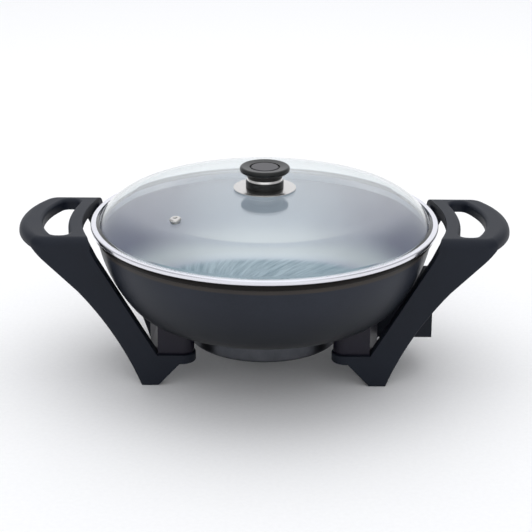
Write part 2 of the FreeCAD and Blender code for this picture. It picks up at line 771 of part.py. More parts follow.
def make_handle(side, label):
    """One moulding: looped grip, a broad front leg, a slim rear one and the pan's two flanges."""
    body = new_body(label)
    front = dim("leg_front")
    thick = dim("leg_thick")
    knee = (from_rim("knee_reach"), from_seat("knee_height"))
    broad = leg_outline(side, knee, from_rim("leg_top_reach"))
    pad(body, "front_leg", "XZ_Plane", [broad], thick, front - thick)
    rear_knee = (from_rim("rear_knee_reach"), from_seat("rear_knee_height"))
    slim = leg_outline(side, rear_knee, from_rim("rear_top_reach"))
    pad(body, "rear_leg", "XZ_Plane", [slim], thick, -front)
    flange = pad(body, "flange", "XY_Plane",
                 [stadium(side, front, dim("flange_width"), from_rim("flange_end"),
                          from_rim("flange_root"), dim("spacer_flare"))],
                 dim("flange_top") - dim("flange_bottom"), dim("flange_bottom"))
    place = (from_rim("leg_post_x") * side, -dim("leg_post_y"))
    hole = pocket(body, "screw_hole", "XY_Plane",
                  [circle(place[0], place[1], dim("screw_radius") + dim("screw_gap"))],
                  dim("flange_top"), ZERO, reverse=True)
    sink_top = screw_seat() - dim("flange_bottom")
    sink = pocket(body, "head_sink", "XY_Plane",
                  [circle(place[0], place[1], dim("screw_head") + 1)],
                  sink_top + 1, dim("flange_bottom") - 1, reverse=True)
    mirrored = body.newObject("PartDesign::Mirrored", "rear_flange")
    mirrored.Originals = [flange, hole, sink]
    mirrored.MirrorPlane = (plane_of(body, "XZ_Plane"), [""])
    body.Tip = mirrored
    doc.recompute()
    reach = from_rim("loop_tip") * 1.5
    near = from_rim("flange_end") * 0.5
    frame = [line(near * side, -reach), line(reach * side, -reach),
             line(reach * side, reach), line(near * side, reach)]
    inside = loop_filled(side, near * 1.2)
    pocket(body, "loop_trim", "XY_Plane", [frame, inside], from_seat("handle_top"), ZERO, reverse=True)
    pad(body, "loop", "XY_Plane", [loop_outline(side), grip_outline(side)], dim("loop_thick"),
        from_seat("handle_top") - dim("loop_thick"))
    top = from_seat("handle_top").value

    def at_level(edge, level):
        return all(abs(vertex.Z - level) < 0.01 for vertex in edge.Vertexes) and \
            abs(edge.BoundBox.ZMax - level) < 0.01 and abs(edge.BoundBox.ZMin - level) < 0.01

    def middle_of(edge):
        return edge.valueAt((edge.FirstParameter + edge.LastParameter) / 2)

    def on_rim(edge):
        middle = middle_of(edge)
        return at_level(edge, top) and (abs(middle.y) > dim("grip_half").value + 2
                                        or abs(middle.x) > from_rim("grip_tip").value + 2)

    def round_hole(edge):
        middle = middle_of(edge)
        return (at_level(edge, top) and abs(middle.y) < dim("grip_half").value + 0.1
                and abs(middle.x) < from_rim("grip_tip").value + 0.1
                and middle.x ** 2 + middle.y ** 2 > (from_rim("loop_inner").value + 1) ** 2)

    fillet(body, "rim_round", dim("loop_rim_round"), on_rim)
    fillet(body, "hole_round", dim("loop_top_round"), round_hole)
    face = front.value
    under = top - dim("loop_thick").value

    def on_leg_face(edge):
        box = edge.BoundBox
        return (abs(abs(box.YMin) - face) < 0.01 and box.YLength < 0.01
                and box.ZMax < under + 0.01)

    fillet(body, "leg_round", dim("leg_edge_round"), on_leg_face)
    return body


def loop_filled(side, near):
    """The loop's plan with its pan side run straight in past the legs' flanges."""
    outer = loop_outline(side)
    front = dim("leg_front")
    return [line(near * side, -front)] + outer[:-2] + [line(near * side, front)]


def screw_seat():
    """Height of the seat for a leg screw's washer, inside the flange."""
    return (dim("flange_top") + dim("flange_bottom")) / 2 + 0.5


def make_spacers():
    """Heat-stand-off blocks between the legs' flanges and the pan, one over each cast post."""
    blocks = []
    for side, hand in ((-1, "left"), (1, "right")):
        for depth, place in ((1, "front"), (-1, "rear")):
            body = new_body("spacer_%s_%s" % (place, hand))
            front = dim("leg_front") - dim("spacer_inset")
            plan = stadium(side, front, dim("spacer_width"),
                           from_rim("flange_end") + dim("spacer_end_inset"),
                           from_rim("flange_root") - dim("post_gap"), ZERO)
            root_x = from_rim("flange_root") - dim("post_gap")
            behind_leg = -(dim("leg_front") - dim("leg_thick")) + dim("post_gap")
            back_edge = -(front - dim("spacer_width"))
            splay = [line((root_x - 1) * side, behind_leg), line(root_x * side, behind_leg),
                     line((from_rim("flange_root") + dim("spacer_flare")) * side, back_edge),
                     line((root_x - 1) * side, back_edge)]
            if depth < 0:
                plan = flip(plan)
                splay = flip(splay)
            low = dim("flange_top")
            tall = dim("seat_height") / 2 - low
            pad(body, "block", "XY_Plane", [plan], tall, low)
            pad(body, "splay", "XY_Plane", [splay], tall, low)
            turn(body, "pan_seat", above_pan(dim("spacer_pan_gap")), "Groove")
            place_x = from_rim("leg_post_x") * side
            place_y = -dim("leg_post_y") * depth
            pocket(body, "post_bore", "XY_Plane",
                   [circle(place_x, place_y, dim("leg_post_radius") + dim("post_gap"))],
                   tall, dim("leg_post_bottom"), reverse=True)
            pocket(body, "screw_way", "XY_Plane",
                   [circle(place_x, place_y, dim("screw_radius") + dim("screw_gap"))],
                   tall, low, reverse=True)
            blocks.append(body)
    return blocks


def flip(steps):
    """The same outline mirrored from front to rear."""
    flipped = []
    for step in steps:
        x, y = step["to"]
        copy = {"to": (x, -y)}
        if "centre" in step:
            copy.update(centre=(step["centre"][0], -step["centre"][1]),
                        radius=step["radius"], ccw=not step["ccw"])
        flipped.append(copy)
    return flipped


def make_leg_screws():
    """Four screws, each up through a flange and a spacer into the pan's post."""
    screws = []
    washers = []
    seat = screw_seat()
    thick = dim("washer_thick")
    reach = dim("leg_post_bottom") + dim("screw_bite") - 1 - seat + thick
    for sx in (-1, 1):
        for sy in (-1, 1):
            name = "%d_%d" % (sx + 1, sy + 1)
            x = from_rim("leg_post_x") * sx
            y = dim("leg_post_y") * sy
            screws.append(screw("leg_screw_" + name, x, y, seat - thick, reach,
                                dim("screw_radius"), dim("screw_head"), dim("screw_head_height")))
            disc = cylinder("leg_washer_disc_" + name, dim("screw_head") + 0.4, thick, x, y, seat - thick)
            hole = cylinder("leg_washer_hole_" + name, dim("screw_radius") + 0.1, thick * 3, x, y,
                            seat - thick * 2)
            washers.append(cut("leg_washer_" + name, disc, hole))
    return [group("leg_screws", screws), group("leg_washers", washers)]


# ---------------------------------------------------------------- socket hood

def make_hood():
    """Open-mouthed hood round the terminals, trimmed to the pan's outside."""
    body = new_body("socket_hood")
    half = dim("hood_half")
    wall = dim("hood_wall")
    low = dim("hood_bottom")
    high = dim("hood_top")
    block = [line(from_rim("hood_back"), -half), line(from_rim("hood_face"), -half),
             line(from_rim("hood_face"), half), line(from_rim("hood_back"), half)]
    pad(body, "block", "XY_Plane", [block], high - low, low)
    back = from_rim("hood_bulkhead")
    cavity = new_sketch(body, "mouth_outline", "YZ_Plane",
                        [[line(half - wall, low + wall), line(half - wall, high - wall),
                          line(-(half - wall), high - wall), line(-(half - wall), low + wall)]],
                        from_rim("hood_face"))
    mouth = body.newObject("PartDesign::Pocket", "mouth")
    mouth.Profile = cavity
    mouth.setExpression("Length", (from_rim("hood_face") - back - wall).formula)
    doc.recompute()
    pocket(body, "rear_room", "YZ_Plane",
           [[line(half - wall, low + wall), line(half - wall, high - wall),
             line(-(half - wall), high - wall), line(-(half - wall), low + wall)]],
           back - from_rim("hood_back") + 1, back)
    turn(body, "pan_trim", above_pan(dim("hood_pan_gap")), "Groove")
    bead = dim("bead_radius") - dim("bead_flange")
    places = [circle(dim("lead_spacing") / 2 * sy, dim("terminal_height"), bead + 0.1) for sy in (-1, 1)]
    places.append(circle(0, dim("terminal_height"), dim("probe_radius") + dim("screw_gap")))
    pocket(body, "terminal_holes", "YZ_Plane", places, wall + 2, back + wall + 1)
    pocket(body, "hood_screw_holes", "XY_Plane",
           [circle(from_rim("hood_post_x"), dim("hood_post_y") * sy,
                   dim("small_screw_radius") + dim("screw_gap")) for sy in (-1, 1)],
           wall + 1, low - 1, reverse=True)
    screws = [screw("hood_screw_%d" % (sy + 1), from_rim("hood_post_x"), dim("hood_post_y") * sy, low,
                    wall + dim("screw_bite") - 1, dim("small_screw_radius"),
                    dim("small_head"), dim("small_head_height")) for sy in (-1, 1)]
    return [body, group("hood_screws", screws)]


def make_terminals():
    """Two plug pins, each insulated from the hood by a ceramic bead."""
    pieces = []
    back = from_rim("hood_bulkhead")
    wall = dim("hood_wall")
    for sy, place in ((-1, "front"), (1, "rear")):
        y = dim("lead_spacing") / 2 * sy
        pin = new_body("terminal_pin_" + place)
        nose = dim("pin_radius")
        start = from_rim("pin_start")
        length = from_rim("pin_tip") - start
        shank = nose - dim("pin_shoulder")
        shoulder = back + wall + dim("bead_flange") - start
        turn(pin, "pin_turn", [line(ZERO, ZERO), line(shank, ZERO), line(shank, shoulder),
                               line(nose, shoulder), line(nose, length - nose),
                               arc(ZERO, length, (ZERO, length - nose), nose, True)])
        pin.Placement = Placement(Vector(start.value, y.value, dim("terminal_height").value),
                                  Rotation(Vector(0, 1, 0), 90))
        pin.setExpression("Placement.Base.x", start.formula)
        pin.setExpression("Placement.Base.y", y.formula)
        pin.setExpression("Placement.Base.z", dim("terminal_height").formula)
        bead = new_body("terminal_bead_" + place)
        inner = shank + 0.05
        body_radius = dim("bead_radius") - dim("bead_flange")
        flange = dim("bead_flange")
        turn(bead, "bead_turn", [line(inner, ZERO), line(body_radius, ZERO),
                                 line(body_radius, wall + 1), line(dim("bead_radius"), wall + 1),
                                 line(dim("bead_radius"), wall + 1 + flange), line(inner, wall + 1 + flange)])
        bead.Placement = Placement(Vector(back.value - 1, y.value, dim("terminal_height").value),
                                   Rotation(Vector(0, 1, 0), 90))
        bead.setExpression("Placement.Base.x", (back - 1).formula)
        bead.setExpression("Placement.Base.y", y.formula)
        bead.setExpression("Placement.Base.z", dim("terminal_height").formula)
        pieces += [pin, bead]
    return pieces


# ---------------------------------------------------------------- lid

def lid_seat():
    return dim("seat_height") + dim("lid_gap")


def dome_centres():
    """Centres of the crown arc and of the knuckle arc that turns it down at the edge."""
    crown = (ZERO, lid_seat() + dim("crown_height") - dim("crown_radius"))
    reach = dim("crown_radius") - dim("knuckle_radius")
    knuckle_x = from_rim("lid_radius") - dim("knuckle_reach")
    knuckle = (knuckle_x, crown[1] + root(reach * reach - knuckle_x * knuckle_x))
    return crown, knuckle


def glass_surface(inset, level):
    """The dome from its foot in to the axis, inset below the outside of the glass."""
    crown, knuckle = dome_centres()
    big = dim("crown_radius") - inset
    small = dim("knuckle_radius") - inset
    scale = dim("crown_radius") / (dim("crown_radius") - dim("knuckle_radius"))
    share = big / dim("crown_radius")
    touch = (knuckle[0] * scale * share, crown[1] + (knuckle[1] - crown[1]) * scale * share)
    drop = level - knuckle[1]
    foot = knuckle[0] + root(small * small - drop * drop)
    hole = dim("lid_hole")
    hole_top = crown[1] + root(big * big - hole * hole)
    return {"foot": foot, "touch": touch, "top": (hole, hole_top), "big": big, "small": small,
            "crown": crown, "knuckle": knuckle}


def glass_height(radius_out):
    """Height of the outside of the glass at a radius on its crown."""
    crown, _ = dome_centres()
    return crown[1] + root(dim("crown_radius") * dim("crown_radius") - radius_out * radius_out)


def vent_placement(lift):
    """Square to the glass where the steam vent sits."""
    crown, _ = dome_centres()
    x = dim("vent_x").value
    y = dim("vent_y").value
    centre = Vector(0, 0, crown[1].value)
    out = Vector(x, y, glass_height(root(dim("vent_x") * dim("vent_x") + dim("vent_y") * dim("vent_y"))).value
                 - crown[1].value).normalize()
    return Placement(centre + out * (dim("crown_radius").value + lift), Rotation(Vector(0, 0, 1), out))


def make_lid_glass():
    """Domed glass with a flat edge, a knob hole in the middle and a hole for the vent."""
    low = lid_seat() + dim("band_sheet")
    high = low + dim("glass_thick")
    edge = from_rim("lid_radius") - dim("band_sheet") - dim("glass_edge_gap")
    outer = glass_surface(ZERO, high)
    inner = glass_surface(dim("glass_thick"), low)
    blank = turned("glass_blank", [
        line(edge, low), line(edge, high), line(outer["foot"], high),
        arc(*outer["touch"], outer["knuckle"], outer["small"], True),
        arc(*outer["top"], outer["crown"], outer["big"], True),
        line(*inner["top"]),
        arc(*inner["touch"], inner["crown"], inner["big"], False),
        arc(inner["foot"], low, inner["knuckle"], inner["small"], False)])
    drill = bound("Cylinder", "vent_drill", {"Radius": dim("vent_hole"), "Height": dim("glass_thick") * 4})
    drill.Placement = vent_placement(-2 * dim("glass_thick").value)
    glass = cut("lid_glass", blank, drill)
    glass.Label = "lid_glass"
    return glass


def make_lid_band():
    """Steel band folded round the glass edge, with a skirt that drops inside the pan's rim."""
    seat = lid_seat()
    metal = dim("band_sheet")
    outer = from_rim("lid_radius")
    high = seat + dim("glass_thick") + metal * 2
    lip = outer - dim("band_lip")
    skirt = from_rim("rim_throat") - dim("band_skirt_gap")
    return turned("lid_band", [
        line(skirt - metal, seat - dim("band_skirt_drop")), line(skirt, seat - dim("band_skirt_drop")),
        line(skirt, seat), line(outer - metal, seat),
        arc(outer, seat + metal, (outer - metal, seat + metal), metal, True),
        line(outer, high - metal),
        arc(outer - metal, high, (outer - metal, high - metal), metal, True),
        line(lip, high), line(lip, high - metal), line(outer - metal, high - metal),
        line(outer - metal, seat + metal), line(skirt - metal, seat + metal)])


def make_vent():
    """Steam-vent eyelet: a button with a tube through the glass, flared underneath."""
    inner = dim("vent_bore")
    tube = dim("vent_hole") - 0.1
    flange = dim("vent_flange")
    metal = dim("vent_sheet")
    head = dim("vent_head")
    bend = dim("vent_round")
    glass = dim("glass_thick") + dim("vent_gap") * 2
    vent = turned("vent_eyelet", [
        line(inner, -(glass + metal)), line(flange - 1, -(glass + metal)), line(flange - 1, -glass),
        line(tube, -glass), line(tube, ZERO), line(flange, ZERO), line(flange, head - bend),
        arc(flange - bend, head, (flange - bend, head - bend), bend, True),
        line(inner + metal, head), line(inner, head - metal)])
    vent.Placement = vent_placement(dim("vent_gap").value)
    return vent


def make_knob():
    """Knob stack, from the gasket on the glass up to the inlaid disc on its head."""
    seat = lid_seat()
    top = seat + dim("crown_height")
    glass_low = top - dim("glass_thick")
    bolt = dim("screw_radius") + dim("screw_gap")
    gasket_top = top + dim("gasket_thick")
    pieces = [turned("knob_gasket", ring_outline(bolt, dim("gasket_radius"), top, gasket_top))]

    metal = dim("skirt_sheet")
    skirt = dim("skirt_radius")
    low_edge = gasket_top - dim("skirt_drop")
    pieces.append(turned("knob_skirt", [
        line(bolt, gasket_top), line(dim("gasket_radius") + 1, gasket_top), line(skirt - metal / 2, low_edge),
        arc(skirt, low_edge + metal / 2, (skirt - metal / 2, low_edge + metal / 2), metal / 2, True),
        arc(skirt - metal / 2, low_edge + metal, (skirt - metal / 2, low_edge + metal / 2), metal / 2, True),
        line(dim("collar_radius") + 1, gasket_top + metal), line(bolt, gasket_top + metal)]))

    insert = dim("insert_radius")
    collar_low = gasket_top + metal
    collar_high = collar_low + dim("collar_height")
    bore = insert + dim("knob_bore_gap") / 3
    pieces.append(turned("knob_collar", [
        line(bore, collar_low), line(dim("collar_radius"), collar_low),
        line(dim("collar_radius"), collar_high - 1), line(dim("collar_radius") - 1, collar_high),
        line(bore, collar_high)]))

    ring_high = collar_high + dim("ring_height")
    ring = dim("ring_radius")
    pieces.append(turned("knob_ring", [
        line(bore, collar_high), line(ring, collar_high), line(ring + 0.5, collar_high + 1),
        line(ring - 0.2, ring_high), line(bore, ring_high)]))

    neck = dim("neck_radius")
    neck_high = ring_high + dim("neck_height")
    insert_high = collar_low + dim("collar_height") + dim("ring_height") + dim("insert_height")
    head = dim("head_radius")
    head_high = neck_high + dim("head_height")
    lip = dim("head_round")
    inset = dim("inset_radius")
    groove = dim("inset_groove")
    inset_low = head_high - dim("inset_thick")
    pieces.append(turned("knob_grip", [
        line(ZERO, insert_high), line(bore, insert_high), line(bore, ring_high),
        line(neck, ring_high), line(neck + dim("neck_flare"), neck_high),
        line(head - lip * 1.4, neck_high),
        arc(head, neck_high + lip * 1.4, (head - lip * 1.4, neck_high + lip * 1.4), lip * 1.4, True),
        line(head, head_high - lip),
        arc(head - lip, head_high, (head - lip, head_high - lip), lip, True),
        line(inset + groove, head_high - 0.8), line(inset + groove, inset_low - 0.8),
        line(inset, inset_low - 0.8), line(inset, inset_low), line(ZERO, inset_low)]))
    pieces.append(turned("knob_inset", [
        line(ZERO, inset_low), line(inset - 0.1, inset_low), line(inset - 0.1, head_high - 1.1),
        line(inset - 0.6, head_high - 0.6), line(ZERO, head_high - 0.6)]))

    tap = dim("screw_radius") + 0.05
    pieces.append(turned("knob_insert", ring_outline(tap, insert, collar_low, insert_high - 0.5)))
    washer_low = glass_low - dim("washer_thick") - dim("gasket_thick")
    pieces.append(turned("knob_under_gasket", ring_outline(bolt, dim("knob_washer_radius"),
                                                          glass_low - dim("gasket_thick"), glass_low - 0.1)))
    pieces.append(turned("knob_washer", ring_outline(bolt, dim("knob_washer_radius") - 0.5, washer_low,
                                                    glass_low - dim("gasket_thick"))))
    bolt_body = screw("knob_screw", ZERO, ZERO, washer_low, collar_high + 2 - washer_low,
                      dim("screw_radius"), dim("knob_screw_head"), dim("screw_head_height"))
    bolt_body.Label = "knob_screw"
    pieces.append(bolt_body)
    return pieces


# ---------------------------------------------------------------- build and write

nodes = [make_pan(), make_heater()]
nodes += make_clamp()
nodes += make_cover()
nodes += [make_handle(-1, "handle_left"), make_handle(1, "handle_right")]
nodes += make_spacers()
nodes += make_leg_screws()
nodes += make_hood()
nodes += make_terminals()
nodes += [make_lid_glass(), make_lid_band(), make_vent()]
nodes += make_knob()
doc.recompute()

for thing in doc.Objects:
    if "Invalid" in thing.State or "Error" in thing.State:
        raise RuntimeError("%s is in state %s" % (thing.Name, thing.State))
for node in nodes:
    if node.Shape.isNull() or not node.Shape.isValid() or not node.Shape.Solids:
        raise RuntimeError("%s has no valid solid" % node.Label)

os.makedirs("parts", exist_ok=True)
for node in nodes:
    node.Shape.exportStep("parts/%s.step" % node.Label)
    size = node.Shape.BoundBox
    print("%-20s %9.0f mm3  %d solids  x %7.1f %7.1f  y %7.1f %7.1f  z %6.1f %6.1f" % (
        node.Label, node.Shape.Volume, len(node.Shape.Solids),
        size.XMin, size.XMax, size.YMin, size.YMax, size.ZMin, size.ZMax))
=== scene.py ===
from math import atan2, cos, degrees, hypot, radians, sin, sqrt, tau

import bmesh
import bpy
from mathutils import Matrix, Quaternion, Vector


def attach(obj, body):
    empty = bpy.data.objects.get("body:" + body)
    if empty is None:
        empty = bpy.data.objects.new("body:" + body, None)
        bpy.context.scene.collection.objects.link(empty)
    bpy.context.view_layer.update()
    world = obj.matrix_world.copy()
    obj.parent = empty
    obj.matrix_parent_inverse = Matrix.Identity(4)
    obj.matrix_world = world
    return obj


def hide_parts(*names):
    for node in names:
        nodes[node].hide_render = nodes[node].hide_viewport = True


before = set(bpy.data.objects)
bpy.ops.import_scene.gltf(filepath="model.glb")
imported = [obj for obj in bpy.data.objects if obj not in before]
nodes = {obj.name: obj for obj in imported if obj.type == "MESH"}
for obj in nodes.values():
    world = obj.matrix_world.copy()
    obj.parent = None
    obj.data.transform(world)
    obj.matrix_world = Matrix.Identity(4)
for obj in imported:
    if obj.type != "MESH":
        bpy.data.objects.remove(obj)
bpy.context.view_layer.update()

mm = 0.001
scene = bpy.context.scene

# the camera stands back from the front and looks a little down
viewFrom = {
    "aim": Vector((0.0, 0.0, 145 * mm)),     # middle of the pan's rim
    "distance": 1.6,
    "elevation": 19.4,                        # degrees above the table
    "roll": 0.35,
    "lens": 110.2,
    "shift": (0.0028, -0.0806),
    "sensor": 36.0,
    "clip": (0.05, 20.0),
}


def placeCamera(spec):
    lens = bpy.data.cameras.new("camera")
    lens.lens = spec["lens"]
    lens.sensor_width = spec["sensor"]
    lens.shift_x, lens.shift_y = spec["shift"]
    lens.clip_start, lens.clip_end = spec["clip"]
    camera = bpy.data.objects.new("camera", lens)
    scene.collection.objects.link(camera)
    tilt = radians(spec["elevation"])
    back = Vector((0.0, -cos(tilt), sin(tilt)))
    camera.location = spec["aim"] + back * spec["distance"]
    camera.rotation_mode = "QUATERNION"
    roll = Quaternion((0.0, 0.0, 1.0), radians(spec["roll"]))
    camera.rotation_quaternion = (-back).to_track_quat("-Z", "Y") @ roll
    scene.camera = camera


placeCamera(viewFrom)
print("camera placed")


def linear(hexColour):
    channels = [int(hexColour[i:i + 2], 16) / 255 for i in (1, 3, 5)]
    return [c / 12.92 if c <= 0.04045 else ((c + 0.055) / 1.055) ** 2.4 for c in channels] + [1.0]


def addNode(tree, kind, settings=None, **inputs):
    # inputs are values, or (node, output name) pairs to link from
    node = tree.nodes.new("ShaderNode" + kind)
    for key, value in (settings or {}).items():
        setattr(node, key, value)
    for key, value in inputs.items():
        name = key.replace("_", " ")
        socket = node.inputs[int(name[3:])] if name.startswith("at ") else node.inputs[name]
        if isinstance(value, tuple) and isinstance(value[0], bpy.types.Node):
            tree.links.new(value[0].outputs[value[1]], socket)
        else:
            socket.default_value = value
    return node


def startMaterial(name, colour, roughness, metallic=0.0, **sockets):
    material = bpy.data.materials.new(name)
    material.use_nodes = True
    material.diffuse_color = linear(colour)
    tree = material.node_tree
    tree.nodes.clear()
    shader = addNode(tree, "BsdfPrincipled", Base_Color=linear(colour), Roughness=roughness,
                     Metallic=metallic)
    for key, value in sockets.items():
        shader.inputs[key.replace("_", " ")].default_value = value
    addNode(tree, "OutputMaterial", Surface=(shader, "BSDF"))
    place = addNode(tree, "TexCoord")
    return material, tree, shader, place


def mottle(tree, shader, place, grainSize, colours, roughness, bump=0.0, patchSize=60.0):
    # fine grain in the surface, with slow drifts of tone and gloss over it; sizes in mm
    grain = addNode(tree, "TexNoise", Vector=(place, "Object"), Scale=1000.0 / grainSize, Detail=4.0,
                    Roughness=0.6)
    patch = addNode(tree, "TexNoise", Vector=(place, "Object"), Scale=1000.0 / patchSize, Detail=3.0,
                    Roughness=0.5)
    both = addNode(tree, "Mix", {"data_type": "FLOAT"}, at_0=0.45, at_2=(patch, "Fac"), at_3=(grain, "Fac"))
    tone = addNode(tree, "ValToRGB", Fac=(both, 0))
    ramp = tone.color_ramp
    ramp.elements[0].position, ramp.elements[0].color = 0.34, linear(colours[0])
    ramp.elements[1].position, ramp.elements[1].color = 0.66, linear(colours[1])
    tree.links.new(tone.outputs["Color"], shader.inputs["Base Color"])
    gloss = addNode(tree, "MapRange", Value=(both, 0), From_Min=0.3, From_Max=0.7,
                    To_Min=roughness[0], To_Max=roughness[1])
    tree.links.new(gloss.outputs["Result"], shader.inputs["Roughness"])
    if bump:
        relief = addNode(tree, "Bump", Height=(grain, "Fac"), Strength=0.35, Distance=bump * mm)
        tree.links.new(relief.outputs["Normal"], shader.inputs["Normal"])
    return both


# baked enamel over cast aluminium: a blue-grey satin with a faint orange peel. It is drawn darker
# towards the base, painted shade, and with a brownish line under the rim, a painted highlight
enamel = {
    "low": 50.0, "high": 132.0,            # heights in mm where the painted shade is deepest and where it ends
    "rimGlint": 133.6, "rimGlintFull": 135.2,         # heights in mm where the painted highlight, a brownish line, comes in
    "top": ("#1f232c", "#272b35"),
    # colour of the painted shade at the base, then of the brownish painted highlight under the rim
    "base": "#090c10",
    "line": "#3d3731",
    "peel": 1.6, "gloss": (0.38, 0.48),    # orange peel's grain in mm, and roughness
}


def makeOutsideEnamel(spec):
    material, tree, shader, place = startMaterial("bakedEnamel", "#1b1f27", 0.42, Specular_IOR_Level=0.22)
    both = mottle(tree, shader, place, spec["peel"], spec["top"], spec["gloss"], bump=0.02)
    coat = next(n for n in tree.nodes if n.type == "VALTORGB")
    axes = addNode(tree, "SeparateXYZ", Vector=(place, "Object"))
    # painted shade: the outside is drawn darker towards the base
    up = addNode(tree, "MapRange", {"interpolation_type": "SMOOTHSTEP"}, Value=(axes, "Z"),
                 From_Min=spec["low"] * mm, From_Max=spec["high"] * mm, To_Min=0.0, To_Max=1.0)
    baseShade = addNode(tree, "Mix", {"data_type": "RGBA"}, at_0=(up, "Result"), at_6=linear(spec["base"]),
                   at_7=(coat, "Color"))
    # painted highlight: a brownish line under the rim, patchy with the mottle
    under = addNode(tree, "MapRange", Value=(axes, "Z"), From_Min=spec["rimGlint"] * mm,
                    From_Max=spec["rimGlintFull"] * mm, To_Min=0.0, To_Max=1.0)
    glintPatches = addNode(tree, "MapRange", Value=(both, 0), From_Min=0.3, From_Max=0.7, To_Min=0.55, To_Max=1.0)
    rimGlint = addNode(tree, "Math", {"operation": "MULTIPLY"}, at_0=(under, "Result"), at_1=(glintPatches, "Result"))
    tone = addNode(tree, "Mix", {"data_type": "RGBA"}, at_0=(rimGlint, "Value"), at_6=(baseShade, 2),
                   at_7=linear(spec["line"]))
    tree.links.new(tone.outputs[2], shader.inputs["Base Color"])
    return material


# silver-grey non-stick coating with metal flake over turned aluminium: the turning lines stretch its
# sheen across the wall, and the floor has curved brush marks that fan out from the middle. The marks
# are coarser than real ones, so that they show. The wall's tones are painted light: a painted sheen at
# the back and front, painted shade at the sides, and a painted highlight along the bend
coating = {
    "edge": 126.0, "fade": 9.0,            # the floor's marks end here, in mm from the middle
    "marks": 150.0,                        # about how many there are round the floor
    "twist": 1.0,                          # how far they lean from the middle to the edge, in radians
    "breaks": 1.6,                         # how soon a mark gives way to the next one along it
    "turn": 134.0, "turnWidth": 16.0,      # the painted highlight along the bend, in mm from the middle
    "flank": (35.0, 135.0),                # mm sideways, from the wall's painted sheen to its painted shade
    "wander": 12.0,                        # mm that this change drifts in and out
    # the wall's painted sheen, the painted shade at its sides, and the bend's painted highlight
    "wall": "#dfe5f0", "flankShade": "#9a99b0", "bendHighlight": "#fbfcfd",
    "brushed": ("#8fa5b3", "#c6d5dd"),
    "flake": 1.2, "drift": 80.0,           # mm across the flake's grain and the drifts of tone
    "gloss": (0.32, 0.48),                 # roughness
}


